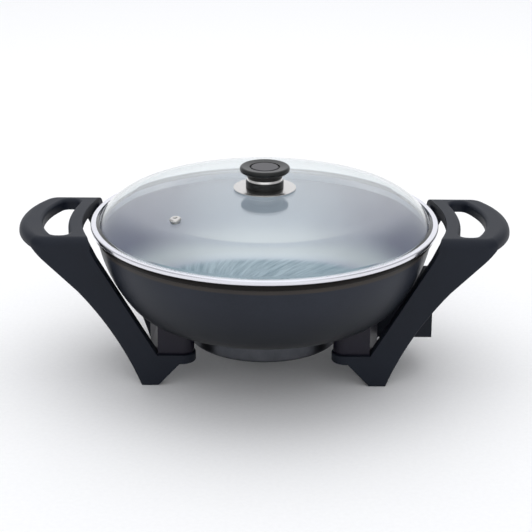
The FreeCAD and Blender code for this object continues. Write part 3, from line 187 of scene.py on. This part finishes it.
def makeInsideCoating(spec):
    material, tree, shader, place = startMaterial("sprayedNonstick", "#c3c9d6", 0.38, 0.5,
                                                  Anisotropic=0.5)
    axes = addNode(tree, "SeparateXYZ", Vector=(place, "Object"))
    flat = addNode(tree, "CombineXYZ", X=(axes, "X"), Y=(axes, "Y"), Z=0.0)
    reach = addNode(tree, "VectorMath", {"operation": "LENGTH"}, at_0=(flat, "Vector"))
    # the turning lines run round the axis
    minusY = addNode(tree, "Math", {"operation": "MULTIPLY"}, at_0=(axes, "Y"), at_1=-1.0)
    around = addNode(tree, "CombineXYZ", X=(minusY, "Value"), Y=(axes, "X"), Z=0.0)
    tangent = addNode(tree, "VectorMath", {"operation": "NORMALIZE"}, at_0=(around, "Vector"))
    tree.links.new(tangent.outputs["Vector"], shader.inputs["Tangent"])
    angle = addNode(tree, "Math", {"operation": "ARCTAN2"}, at_0=(axes, "Y"), at_1=(axes, "X"))
    lean = addNode(tree, "Math", {"operation": "MULTIPLY"}, at_0=(reach, "Value"),
                   at_1=spec["twist"] / (spec["edge"] * mm))
    turned = addNode(tree, "Math", {"operation": "ADD"}, at_0=(angle, "Value"), at_1=(lean, "Value"))
    across = addNode(tree, "Math", {"operation": "SINE"}, at_0=(turned, "Value"))
    along = addNode(tree, "Math", {"operation": "COSINE"}, at_0=(turned, "Value"))
    ring = addNode(tree, "Math", {"operation": "MULTIPLY"}, at_0=(reach, "Value"), at_1=spec["breaks"])
    wheel = addNode(tree, "CombineXYZ", X=(across, "Value"), Y=(along, "Value"), Z=(ring, "Value"))
    marks = addNode(tree, "TexNoise", Vector=(wheel, "Vector"), Scale=spec["marks"] / tau, Detail=3.0,
                    Roughness=0.6)
    onFloor = addNode(tree, "MapRange", {"interpolation_type": "SMOOTHSTEP"}, Value=(reach, "Value"),
                      From_Min=spec["edge"] * mm, From_Max=(spec["edge"] - spec["fade"]) * mm,
                      To_Min=0.0, To_Max=1.0)
    grain = addNode(tree, "TexNoise", Vector=(place, "Object"), Scale=1000.0 / spec["flake"], Detail=3.0)
    # painted light: the wall is drawn lighter at the back and front, a painted sheen, and violet-grey at the
    # two sides, painted shade
    sideways = addNode(tree, "Math", {"operation": "ABSOLUTE"}, at_0=(axes, "X"))
    drift = addNode(tree, "TexNoise", Vector=(place, "Object"), Scale=1000.0 / spec["drift"], Detail=2.0)
    wander = addNode(tree, "MapRange", Value=(drift, "Fac"), From_Min=0.3, From_Max=0.7,
                     To_Min=-spec["wander"] * mm, To_Max=spec["wander"] * mm)
    spread = addNode(tree, "Math", {"operation": "ADD"}, at_0=(sideways, "Value"), at_1=(wander, "Result"))
    flank = addNode(tree, "MapRange", {"interpolation_type": "SMOOTHSTEP"}, Value=(spread, "Value"),
                    From_Min=spec["flank"][0] * mm, From_Max=spec["flank"][1] * mm, To_Min=0.0, To_Max=1.0)
    wall = addNode(tree, "Mix", {"data_type": "RGBA"}, at_0=(flank, "Result"), at_6=linear(spec["wall"]),
                   at_7=linear(spec["flankShade"]))
    # the bend into the floor is drawn brighter, a painted highlight
    off = addNode(tree, "Math", {"operation": "SUBTRACT"}, at_0=(reach, "Value"), at_1=spec["turn"] * mm)
    away = addNode(tree, "Math", {"operation": "ABSOLUTE"}, at_0=(off, "Value"))
    bright = addNode(tree, "MapRange", {"interpolation_type": "SMOOTHSTEP"}, Value=(away, "Value"),
                     From_Min=0.0, From_Max=spec["turnWidth"] * mm, To_Min=0.8, To_Max=0.0)
    bend = addNode(tree, "Mix", {"data_type": "RGBA"}, at_0=(bright, "Result"), at_6=(wall, 2),
                   at_7=linear(spec["bendHighlight"]))
    brushed = addNode(tree, "ValToRGB", Fac=(marks, "Fac"))
    brushed.color_ramp.elements[0].position = 0.36
    brushed.color_ramp.elements[0].color = linear(spec["brushed"][0])
    brushed.color_ramp.elements[1].position = 0.64
    brushed.color_ramp.elements[1].color = linear(spec["brushed"][1])
    tone = addNode(tree, "Mix", {"data_type": "RGBA"}, at_0=(onFloor, "Result"), at_6=(bend, 2),
                   at_7=(brushed, "Color"))
    tree.links.new(tone.outputs[2], shader.inputs["Base Color"])
    pattern = addNode(tree, "Mix", {"data_type": "FLOAT"}, at_0=(onFloor, "Result"),
                      at_2=(grain, "Fac"), at_3=(marks, "Fac"))
    gloss = addNode(tree, "MapRange", Value=(pattern, 0), From_Min=0.25, From_Max=0.75,
                    To_Min=spec["gloss"][0], To_Max=spec["gloss"][1])
    tree.links.new(gloss.outputs["Result"], shader.inputs["Roughness"])
    relief = addNode(tree, "Bump", Height=(pattern, 0), Strength=0.3, Distance=0.15 * mm)
    tree.links.new(relief.outputs["Normal"], shader.inputs["Normal"])
    return material


# toughened soda-lime glass, 4 mm thick: clear, with the faintest film of haze. Shadow rays pass
# through it as light does through a thin pane, so the pan inside isn't dark
def makeLidGlass():
    material, tree, shader, place = startMaterial("toughenedGlass", "#f4f8f8", 0.0, IOR=1.5,
                                                  Transmission_Weight=1.0)
    film = addNode(tree, "TexNoise", Vector=(place, "Object"), Scale=1000.0 / 90.0, Detail=2.0)
    haze = addNode(tree, "MapRange", Value=(film, "Fac"), From_Min=0.3, From_Max=0.7,
                   To_Min=0.0, To_Max=0.02)
    tree.links.new(haze.outputs["Result"], shader.inputs["Roughness"])
    rays = addNode(tree, "LightPath")
    clear = addNode(tree, "BsdfTransparent", Color=linear("#eef4f3"))
    through = addNode(tree, "MixShader", at_0=(rays, "Is Shadow Ray"), at_1=(shader, "BSDF"),
                      at_2=(clear, "BSDF"))
    out = next(n for n in tree.nodes if n.type == "OUTPUT_MATERIAL")
    tree.links.new(through.outputs["Shader"], out.inputs["Surface"])
    return material


# stainless strip and spun stainless disc: bright metal with fine turned lines round the axis
def makeStainless(name, colour, roughness, lineSize, bump):
    material, tree, shader, place = startMaterial(name, colour, roughness, 1.0)
    axes = addNode(tree, "SeparateXYZ", Vector=(place, "Object"))
    flat = addNode(tree, "CombineXYZ", X=(axes, "X"), Y=(axes, "Y"), Z=0.0)
    reach = addNode(tree, "VectorMath", {"operation": "LENGTH"}, at_0=(flat, "Vector"))
    rings = addNode(tree, "CombineXYZ", X=(reach, "Value"), Y=(axes, "Z"), Z=0.0)
    lines = addNode(tree, "TexNoise", Vector=(rings, "Vector"), Scale=1000.0 / lineSize, Detail=2.0)
    gloss = addNode(tree, "MapRange", Value=(lines, "Fac"), From_Min=0.3, From_Max=0.7,
                    To_Min=roughness * 0.7, To_Max=roughness * 1.3)
    tree.links.new(gloss.outputs["Result"], shader.inputs["Roughness"])
    relief = addNode(tree, "Bump", Height=(lines, "Fac"), Strength=0.2, Distance=bump * mm)
    tree.links.new(relief.outputs["Normal"], shader.inputs["Normal"])
    return material


# moulded, fired and lacquered parts: one tone with a fine grain and a soft satin skin
def makeMoulded(name, colours, roughness, grain, bump, **sockets):
    material, tree, shader, place = startMaterial(name, colours[0], roughness[0], **sockets)
    mottle(tree, shader, place, grain, colours, roughness, bump=bump)
    return material


# small plated or bare metal parts: patchy satin metal
def makePlated(name, colours, roughness):
    material, tree, shader, place = startMaterial(name, colours[0], roughness[0], 1.0)
    mottle(tree, shader, place, 0.8, colours, roughness, bump=0.01, patchSize=9.0)
    return material


finishes = {
    "outside": makeOutsideEnamel(enamel),
    "inside": makeInsideCoating(coating),
    "glass": makeLidGlass(),
    # rolled strip is nearly a mirror, the spun disc shows its turning, and the plated ring is brightest
    "band": makeStainless("rolledStainless", "#e2e2e8", 0.17, 0.9, 0.0006),
    "disc": makeStainless("spunStainless", "#cfcdca", 0.20, 0.35, 0.006),
    "chrome": makeStainless("chromedBrass", "#dddbd8", 0.07, 0.6, 0.002),
    # the rolled edge, dark and dull, a thin line between the lid's band and the bowl: its own brownish dark,
    # deepened to near-black as painted shade under the band
    "rim": makeMoulded("darkRimAndShade", ("#0a0807", "#140f0c"), (0.30, 0.40), 1.4, 0.01,
                       Specular_IOR_Level=0.15),
    # compression-moulded phenolic: near-black with a blue cast, glossier where it was polished
    "handle": makeMoulded("mouldedPhenolic", ("#151922", "#1b202a"), (0.44, 0.54), 0.7, 0.02,
                          Specular_IOR_Level=0.2),
    "spacer": makeMoulded("polishedPhenolic", ("#100e19", "#181524"), (0.26, 0.34), 1.2, 0.008,
                          Specular_IOR_Level=0.3),
    "knob": makeMoulded("turnedPhenolic", ("#0e0f0f", "#161817"), (0.26, 0.34), 0.9, 0.012,
                        Specular_IOR_Level=0.35),
    "inlay": makeMoulded("lacqueredInlay", ("#252428", "#2e2c31"), (0.34, 0.42), 0.8, 0.01),
    # rubbery and dull, then a chalky fired ceramic
    "gasket": makeMoulded("mouldedSilicone", ("#17181a", "#1f2022"), (0.55, 0.65), 0.6, 0.02),
    "steatite": makeMoulded("firedSteatite", ("#d8d3c6", "#e6e2d6"), (0.60, 0.75), 0.9, 0.03),
    # plated pressings and screws, a heat-browned sheath, and plain turned brass
    "cover": makePlated("blackNickelSteel", ("#4c4e53", "#5a5c61"), (0.30, 0.40)),
    "sheath": makePlated("oxidisedSheath", ("#5d5750", "#77706a"), (0.42, 0.58)),
    "zinc": makePlated("zincPlate", ("#9a9da0", "#b4b6b8"), (0.30, 0.42)),
    "nickel": makePlated("nickelPlate", ("#bcb7ad", "#cfcbc2"), (0.16, 0.24)),
    "brass": makePlated("turnedBrass", ("#a98b4e", "#bb9c5c"), (0.26, 0.36)),
}
print("finishes made:", len(finishes))


# a turned piece starts as an outline of (radius, height) points in mm, which is spun round the axis
def startOutline(r, z):
    bm = bmesh.new()
    return bm, bm.verts.new((r * mm, 0.0, z * mm))


def lineTo(bm, tip, r, z):
    made = bmesh.ops.extrude_vert_indiv(bm, verts=[tip])
    made["verts"][0].co = (r * mm, 0.0, z * mm)
    return made["verts"][0]


def arcBy(bm, tip, centre, angle, steps):
    # swings the tip round a centre, anticlockwise seen from the front, and leaves its trail
    made = bmesh.ops.spin(bm, geom=[tip], cent=(centre[0] * mm, 0.0, centre[1] * mm), axis=(0.0, -1.0, 0.0),
                          angle=radians(angle), steps=steps)
    return next(v for v in made["geom_last"] if isinstance(v, bmesh.types.BMVert))


def softCorners(bm, corners):
    # rounds the outline at each (r, z, size) corner
    for r, z, size in corners:
        spot = Vector((r * mm, 0.0, z * mm))
        corner = min(bm.verts, key=lambda v: (v.co - spot).length)
        bmesh.ops.bevel(bm, geom=[corner], affect="VERTICES", offset=size * mm, offset_type="OFFSET",
                        segments=5, profile=0.5, material=-1, clamp_overlap=True)


def spinOutline(bm, steps):
    bmesh.ops.spin(bm, geom=bm.verts[:] + bm.edges[:], cent=(0.0, 0.0, 0.0), axis=(0.0, 0.0, 1.0),
                   angle=tau, steps=steps, use_merge=True)
    bmesh.ops.remove_doubles(bm, verts=bm.verts, dist=0.002 * mm)
    bmesh.ops.dissolve_degenerate(bm, edges=bm.edges, dist=0.001 * mm)
    bmesh.ops.recalc_face_normals(bm, faces=bm.faces)


def finishPiece(name, bm, body, materials, cadNodes=(), sharpAngle=35.0):
    mesh = bpy.data.meshes.new(name)
    bm.to_mesh(mesh)
    bm.free()
    for material in materials:
        mesh.materials.append(material)
    mesh.shade_smooth()
    mesh.set_sharp_from_angle(angle=radians(sharpAngle))
    piece = bpy.data.objects.new(name, mesh)
    scene.collection.objects.link(piece)
    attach(piece, body)
    if cadNodes:
        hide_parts(*cadNodes)
    return piece


def turnedPiece(name, points, corners, body, material, cadNodes, steps=96):
    # a ring or a knob part from the (r, z) points of its section
    bm, first = startOutline(*points[0])
    tip = first
    for r, z in points[1:]:
        tip = lineTo(bm, tip, r, z)
    bm.edges.new((tip, first))
    softCorners(bm, corners)
    spinOutline(bm, steps)
    finishPiece(name, bm, body, [material], cadNodes)


# the bowl's outer wall is three arcs that run into one another, from the base to the rim
panWall = {
    "base": (74.94, 47.43),
    "arcs": (((31.278, 252.841), 210.0, 13.0, 14),      # centre, radius, swing, steps
             ((100.587, 104.207), 46.0, 27.0, 14),
             ((29.666, 159.616), 136.0, 28.0, 22)),
    "joins": (120.03, 136.84),       # how far out each arc hands over to the next
    "topSlope": 10.0,                # degrees that the wall still leans out where it meets the rim
    "thick": 3.5,
    "floor": 55.5,
    "rimOut": 167.0,
    "rimLow": 139.0,
    "rimHigh": 145.0,
    "neck": 163.6,
    "throat": (161.2, 143.0),
    "throatFlare": 0.67,             # how much wider the mouth is at the rim's top
    "rounds": {"under": 2.2, "top": 2.6, "mouth": 0.5, "neck": 0.8, "floor": 9.0},
    "darkRimZone": (0.9, 0.2),         # the rim's near-black, partly painted shade under the band, starts this far below it and outside the throat
    "coatEdge": 161.9,               # the coating ends here, in mm from the axis
    "coatAbove": 1.5,                # a face this far above the outside belongs to the inside
    "around": 256,
}


def outerHeight(r):
    # height of the bowl's outside, in mm, at a distance from its axis
    bounds = (panWall["base"][0], *panWall["joins"], panWall["neck"])
    if r <= bounds[0]:
        return panWall["base"][1]
    for (centre, radius, _, _), far in zip(panWall["arcs"], bounds[1:]):
        if r <= far:
            run = min(r - centre[0], radius)
            return centre[1] - sqrt(radius * radius - run * run)
    return panWall["rimLow"]


def makePan(spec):
    mouth = spec["throat"][0] + spec["throatFlare"]
    bm, tip = startOutline(0.0, spec["base"][1])
    tip = lineTo(bm, tip, *spec["base"])
    for centre, radius, swing, steps in spec["arcs"]:
        tip = arcBy(bm, tip, centre, swing, steps)
    tip = lineTo(bm, tip, spec["neck"], spec["rimLow"])
    for r, z in ((spec["rimOut"], spec["rimLow"]), (spec["rimOut"], spec["rimHigh"]),
                 (mouth, spec["rimHigh"]), spec["throat"]):
        tip = lineTo(bm, tip, r, z)
    # the inside follows the outside, a wall's thickness in
    wallTop = spec["arcs"][-1]
    slope = radians(spec["topSlope"])
    tip = lineTo(bm, tip, wallTop[0][0] + (wallTop[1] - spec["thick"]) * cos(slope),
                 wallTop[0][1] - (wallTop[1] - spec["thick"]) * sin(slope))
    for centre, radius, swing, steps in reversed(spec["arcs"][1:]):
        tip = arcBy(bm, tip, centre, -swing, steps)
    centre, radius, swing, steps = spec["arcs"][0]
    inner = radius - spec["thick"]
    floorRun = sqrt(inner ** 2 - (centre[1] - spec["floor"]) ** 2)
    here = atan2(tip.co.z / mm - centre[1], tip.co.x / mm - centre[0])
    there = atan2(spec["floor"] - centre[1], floorRun)
    tip = arcBy(bm, tip, centre, degrees(there - here), 8)
    lineTo(bm, tip, 0.0, spec["floor"])
    size = spec["rounds"]
    softCorners(bm, ((spec["rimOut"], spec["rimLow"], size["under"]),
                     (spec["rimOut"], spec["rimHigh"], size["top"]),
                     (mouth, spec["rimHigh"], size["mouth"]), (spec["neck"], spec["rimLow"], size["neck"]),
                     (centre[0] + floorRun, spec["floor"], size["floor"])))
    spinOutline(bm, spec["around"])
    below, outside = spec["darkRimZone"]
    for face in bm.faces:
        middle = face.calc_center_median() / mm
        reach = hypot(middle.x, middle.y)
        # the rim's near-black: its own dark tone with painted shade under the band
        if middle.z > spec["rimLow"] - below and reach > spec["throat"][0] + outside:
            face.material_index = 2
        else:
            inside = reach < spec["coatEdge"] and middle.z > outerHeight(reach) + spec["coatAbove"]
            face.material_index = int(inside)
    finishPiece("panShell", bm, "base",
                [finishes["outside"], finishes["inside"], finishes["rim"]], ["pan_body"])


makePan(panWall)


# the lug and posts cast under the pan are kept as the model has them, cut off at the shell
castings = {"margin": 0.15, "sharp": 30.0}      # mm under the shell where they are cut, and degrees


def makeCastings(spec):
    bm = bmesh.new()
    bm.from_mesh(nodes["pan_body"].data)
    bmesh.ops.remove_doubles(bm, verts=bm.verts, dist=0.002 * mm)
    shell = []
    for face in bm.faces:
        middle = face.calc_center_median() / mm
        if middle.z > outerHeight(hypot(middle.x, middle.y)) - spec["margin"]:
            shell.append(face)
    bmesh.ops.delete(bm, geom=shell, context="FACES")
    finishPiece("panCastings", bm, "base", [finishes["outside"]], ["pan_body"],
                spec["sharp"])


makeCastings(castings)
print("pan made")


glassDome = {
    "hole": 5.0, "top": (177.686, 181.686),      # under and upper face at the knob's hole
    "edge": 169.2, "low": 145.8, "high": 149.8, "inFoot": 159.991,
    "crown": (0.0, -718.3), "crownSwing": 7.929,      # the shallow middle: its centre, and degrees
    "knuckle": (122.5, 126.868), "outSwing": 51.851, "inSwing": 54.961,      # the turn to the flange
    "merge": 0.05,                               # mm within which the arcs' ends join
    "round": 1.3,
    "sharp": 60.0,                               # degrees, so only the hole's edge is shaded sharp
    "around": 256,
}


def makeGlass(spec):
    bm, first = startOutline(spec["hole"], spec["top"][0])
    tip = lineTo(bm, first, spec["hole"], spec["top"][1])
    tip = arcBy(bm, tip, spec["crown"], -spec["crownSwing"], 24)
    tip = arcBy(bm, tip, spec["knuckle"], -spec["outSwing"], 22)
    tip = lineTo(bm, tip, spec["edge"], spec["high"])
    tip = lineTo(bm, tip, spec["edge"], spec["low"])
    tip = lineTo(bm, tip, spec["inFoot"], spec["low"])
    tip = arcBy(bm, tip, spec["knuckle"], spec["inSwing"], 22)
    tip = arcBy(bm, tip, spec["crown"], spec["crownSwing"], 24)
    bmesh.ops.remove_doubles(bm, verts=bm.verts, dist=spec["merge"] * mm)
    softCorners(bm, ((spec["edge"], spec["high"], spec["round"]), (spec["edge"], spec["low"], spec["round"])))
    spinOutline(bm, spec["around"])
    finishPiece("lidGlass", bm, "lid", [finishes["glass"]], ["lid_glass"], spec["sharp"])


makeGlass(glassDome)

# steel strip folded round the glass edge, with a skirt that drops into the pan's mouth
lidBand = {
    "skirt": (158.8, 159.3), "drop": 139.3,      # inner and outer face, and its lower edge
    "fold": (169.35, 169.98), "lip": 164.6,      # inner and outer face, and how far in it folds back
    "under": (145.3, 145.75), "over": (149.85, 150.3),      # heights of the two flat parts
    "outRound": 1.6, "inRound": 1.1, "skirtRound": 0.4, "lipRounds": (0.22, 0.2),
    "around": 256,
}


def makeBand(spec):
    skirtIn, skirtOut = spec["skirt"]
    foldIn, foldOut = spec["fold"]
    low, lowIn = spec["under"]
    highIn, high = spec["over"]
    drop, lip, lipRounds = spec["drop"], spec["lip"], spec["lipRounds"]
    turnedPiece("lidBand",
                ((skirtIn, drop), (skirtOut, drop), (skirtOut, low), (foldOut, low), (foldOut, high),
                 (lip, high), (lip, highIn), (foldIn, highIn), (foldIn, lowIn), (skirtIn, lowIn)),
                ((foldOut, low, spec["outRound"]), (foldOut, high, spec["outRound"]),
                 (foldIn, highIn, spec["inRound"]), (foldIn, lowIn, spec["inRound"]),
                 (skirtOut, low, spec["skirtRound"]), (lip, high, lipRounds[0]), (lip, highIn, lipRounds[1])),
                "lid", finishes["band"], ["lid_band"], steps=spec["around"])


makeBand(lidBand)

knob = {
    "disc": 182.4, "collar": 183.2, "ring": 189.5, "neck": 192.7,      # heights where each part starts
    "screwHole": 2.8, "insertHole": 4.1,
    "discFlat": 15.0, "discShoulder": 19.5, "discReach": 30.5,
    "discEdge": (0.7, 0.1),                      # how far its edge hangs below and stands above the flat
    "collarReach": 18.5,
    "ringFoot": 17.2, "ringReach": 17.7, "ringTop": 17.0, "ringSwell": 1.0,
    "discRound": 0.35, "shoulderRound": 3.0,
    "collarRounds": (0.5, 1.0), "ringRounds": (0.3, 0.6, 0.4),      # from the lowest edge up
    "discAround": 128,
}


def makeKnob(spec):
    disc, collar, ring, neck = spec["disc"], spec["collar"], spec["ring"], spec["neck"]
    edgeLow, edgeHigh = disc - spec["discEdge"][0], disc + spec["discEdge"][1]
    reach, shoulder, hole = spec["discReach"], spec["discShoulder"], spec["screwHole"]
    turnedPiece("knobDisc",
                ((hole, disc), (spec["discFlat"], disc), (reach, edgeLow), (reach, edgeHigh),
                 (shoulder, collar), (hole, collar)),
                ((reach, edgeLow, spec["discRound"]), (reach, edgeHigh, spec["discRound"]),
                 (shoulder, collar, spec["shoulderRound"])),
                "lid", finishes["disc"], ["knob_skirt"], steps=spec["discAround"])
    hole, reach = spec["insertHole"], spec["collarReach"]
    turnedPiece("knobCollar",
                ((hole, collar), (reach, collar), (reach, ring), (hole, ring)),
                ((reach, collar, spec["collarRounds"][0]), (reach, ring, spec["collarRounds"][1])),
                "lid", finishes["knob"], ["knob_collar"])
    swell = (spec["ringReach"], ring + spec["ringSwell"])
    footRound, swellRound, topRound = spec["ringRounds"]
    turnedPiece("knobRing",
                ((hole, ring), (spec["ringFoot"], ring), swell, (spec["ringTop"], neck), (hole, neck)),
                ((spec["ringFoot"], ring, footRound), (*swell, swellRound),
                 (spec["ringTop"], neck, topRound)),
                "lid", finishes["chrome"], ["knob_ring"])


makeKnob(knob)
print("lid made")


# the handles, spacers and hood are the model's own shapes, merged so that their edges can be softened
edges = {"handle": 0.7, "spacer": 0.6, "hood": 0.5,      # width in mm
         "flat": 0.6, "sharp": 32.0, "corner": 38.0}     # degrees: merged below, shaded sharp, bevelled


def softCopy(name, node, material, width):
    bm = bmesh.new()
    bm.from_mesh(nodes[node].data)
    bmesh.ops.remove_doubles(bm, verts=bm.verts, dist=0.002 * mm)
    bmesh.ops.dissolve_limit(bm, angle_limit=radians(edges["flat"]), verts=bm.verts, edges=bm.edges,
                             delimit={"NORMAL"})
    piece = finishPiece(name, bm, "base", [material], [node], edges["sharp"])
    soften = piece.modifiers.new("softEdges", "BEVEL")
    soften.width = width * mm
    soften.segments = 3
    soften.limit_method = "ANGLE"
    soften.angle_limit = radians(edges["corner"])
    soften.use_clamp_overlap = True
    soften.harden_normals = False
    evenShading = piece.modifiers.new("evenShading", "WEIGHTED_NORMAL")
    evenShading.keep_sharp = True


softCopy("handleLeft", "handle_left", finishes["handle"], edges["handle"])
softCopy("handleRight", "handle_right", finishes["handle"], edges["handle"])
for place in ("front_left", "rear_left", "front_right", "rear_right"):
    softCopy("spacer_" + place, "spacer_" + place, finishes["spacer"], edges["spacer"])
softCopy("socketHood", "socket_hood", finishes["handle"], edges["hood"])
print("handles and hood made")


# the other nodes keep their shape and take a finish
nodeFinish = {
    "base_cover": "cover", "heating_element": "sheath", "heater_clamp": "zinc", "clamp_screws": "zinc",
    "cover_washer": "zinc", "cover_screw": "zinc", "leg_screws": "zinc", "leg_washers": "zinc",
    "hood_screws": "zinc", "terminal_pin_front": "nickel", "terminal_pin_rear": "nickel",
    "terminal_bead_front": "steatite", "terminal_bead_rear": "steatite", "vent_eyelet": "disc",
    "knob_gasket": "gasket", "knob_under_gasket": "gasket", "knob_grip": "knob", "knob_inset": "inlay",
    "knob_insert": "brass", "knob_washer": "zinc", "knob_screw": "zinc",
    # hidden behind their visible pieces, and finished the same
    "pan_body": "outside", "lid_glass": "glass", "lid_band": "band", "knob_skirt": "disc",
    "knob_collar": "knob", "knob_ring": "chrome", "handle_left": "handle", "handle_right": "handle",
    "socket_hood": "handle", "spacer_front_left": "spacer", "spacer_rear_left": "spacer",
    "spacer_front_right": "spacer", "spacer_rear_right": "spacer",
}
for node, finish in nodeFinish.items():
    slots = nodes[node].material_slots
    for slot in slots:
        slot.material = finishes[finish]
print("finishes given to", len(nodeFinish), "nodes")


# matte white card that reaches far past what the camera sees, with a fine paper grain
floorCard = {"reach": 40.0, "grain": 4.0, "tone": (0.86, 0.92)}      # metres, mm, and its two whites


def makeFloor(spec):
    bm = bmesh.new()
    bmesh.ops.create_grid(bm, x_segments=1, y_segments=1, size=spec["reach"])
    mesh = bpy.data.meshes.new("floor")
    bm.to_mesh(mesh)
    bm.free()
    floor = bpy.data.objects.new("floor", mesh)
    scene.collection.objects.link(floor)
    material, tree, shader, place = startMaterial("matteCard", "#f2f2f2", 0.9)
    paper = addNode(tree, "TexNoise", Vector=(place, "Object"), Scale=1000.0 / spec["grain"], Detail=2.0)
    tone = addNode(tree, "MapRange", Value=(paper, "Fac"), To_Min=spec["tone"][0], To_Max=spec["tone"][1])
    shade = addNode(tree, "CombineColor", Red=(tone, "Result"), Green=(tone, "Result"), Blue=(tone, "Result"))
    tree.links.new(shade.outputs["Color"], shader.inputs["Base Color"])
    mesh.materials.append(material)


def areaLight(name, place, aim, size, power):
    data = bpy.data.lights.new(name, "AREA")
    data.shape = "RECTANGLE"
    data.size, data.size_y = size
    data.energy = power
    light = bpy.data.objects.new(name, data)
    scene.collection.objects.link(light)
    light.location = place
    # only the tent is seen in reflections and through the glass
    light.visible_glossy = False
    light.visible_transmission = False
    light.rotation_mode = "QUATERNION"
    light.rotation_quaternion = (Vector(aim) - Vector(place)).to_track_quat("-Z", "Y")


studio = {
    "overhead": {"place": (0.0, 0.5, 1.9), "aim": (0.0, 0.0, 0.1), "size": (2.4, 2.0), "power": 13.0},
    "horizon": 1.05,       # brightness of the tent at table height, in front and behind
    "zenith": 1.25,
    "sides": 0.5,          # how bright the tent's left and right flanks are beside the rest
    "rise": (-0.05, 0.9), "turn": (0.25, 0.85),      # where up and sideways each change starts and ends
    "white": "#f8f9fc",
}


def lightStudio(spec):
    # a white tent, brightest overhead, with grey flanks that shade the sides of what stands in it
    world = bpy.data.worlds.new("studio")
    world.use_nodes = True
    tree = world.node_tree
    tree.nodes.clear()
    place = addNode(tree, "TexCoord")
    axes = addNode(tree, "SeparateXYZ", Vector=(place, "Object"))
    up = addNode(tree, "MapRange", {"interpolation_type": "SMOOTHSTEP"}, Value=(axes, "Z"),
                 From_Min=spec["rise"][0], From_Max=spec["rise"][1],
                 To_Min=spec["horizon"], To_Max=spec["zenith"])
    across = addNode(tree, "Math", {"operation": "ABSOLUTE"}, at_0=(axes, "X"))
    flank = addNode(tree, "MapRange", {"interpolation_type": "SMOOTHSTEP"}, Value=(across, "Value"),
                    From_Min=spec["turn"][0], From_Max=spec["turn"][1], To_Min=1.0, To_Max=spec["sides"])
    glow = addNode(tree, "Math", {"operation": "MULTIPLY"}, at_0=(up, "Result"), at_1=(flank, "Result"))
    tent = addNode(tree, "Background", Color=linear(spec["white"]), Strength=(glow, "Value"))
    addNode(tree, "OutputWorld", Surface=(tent, "Background"))
    scene.world = world


areaLight("overhead", **studio["overhead"])
lightStudio(studio)
scene.view_settings.view_transform = "Standard"
makeFloor(floorCard)
print("studio lit")
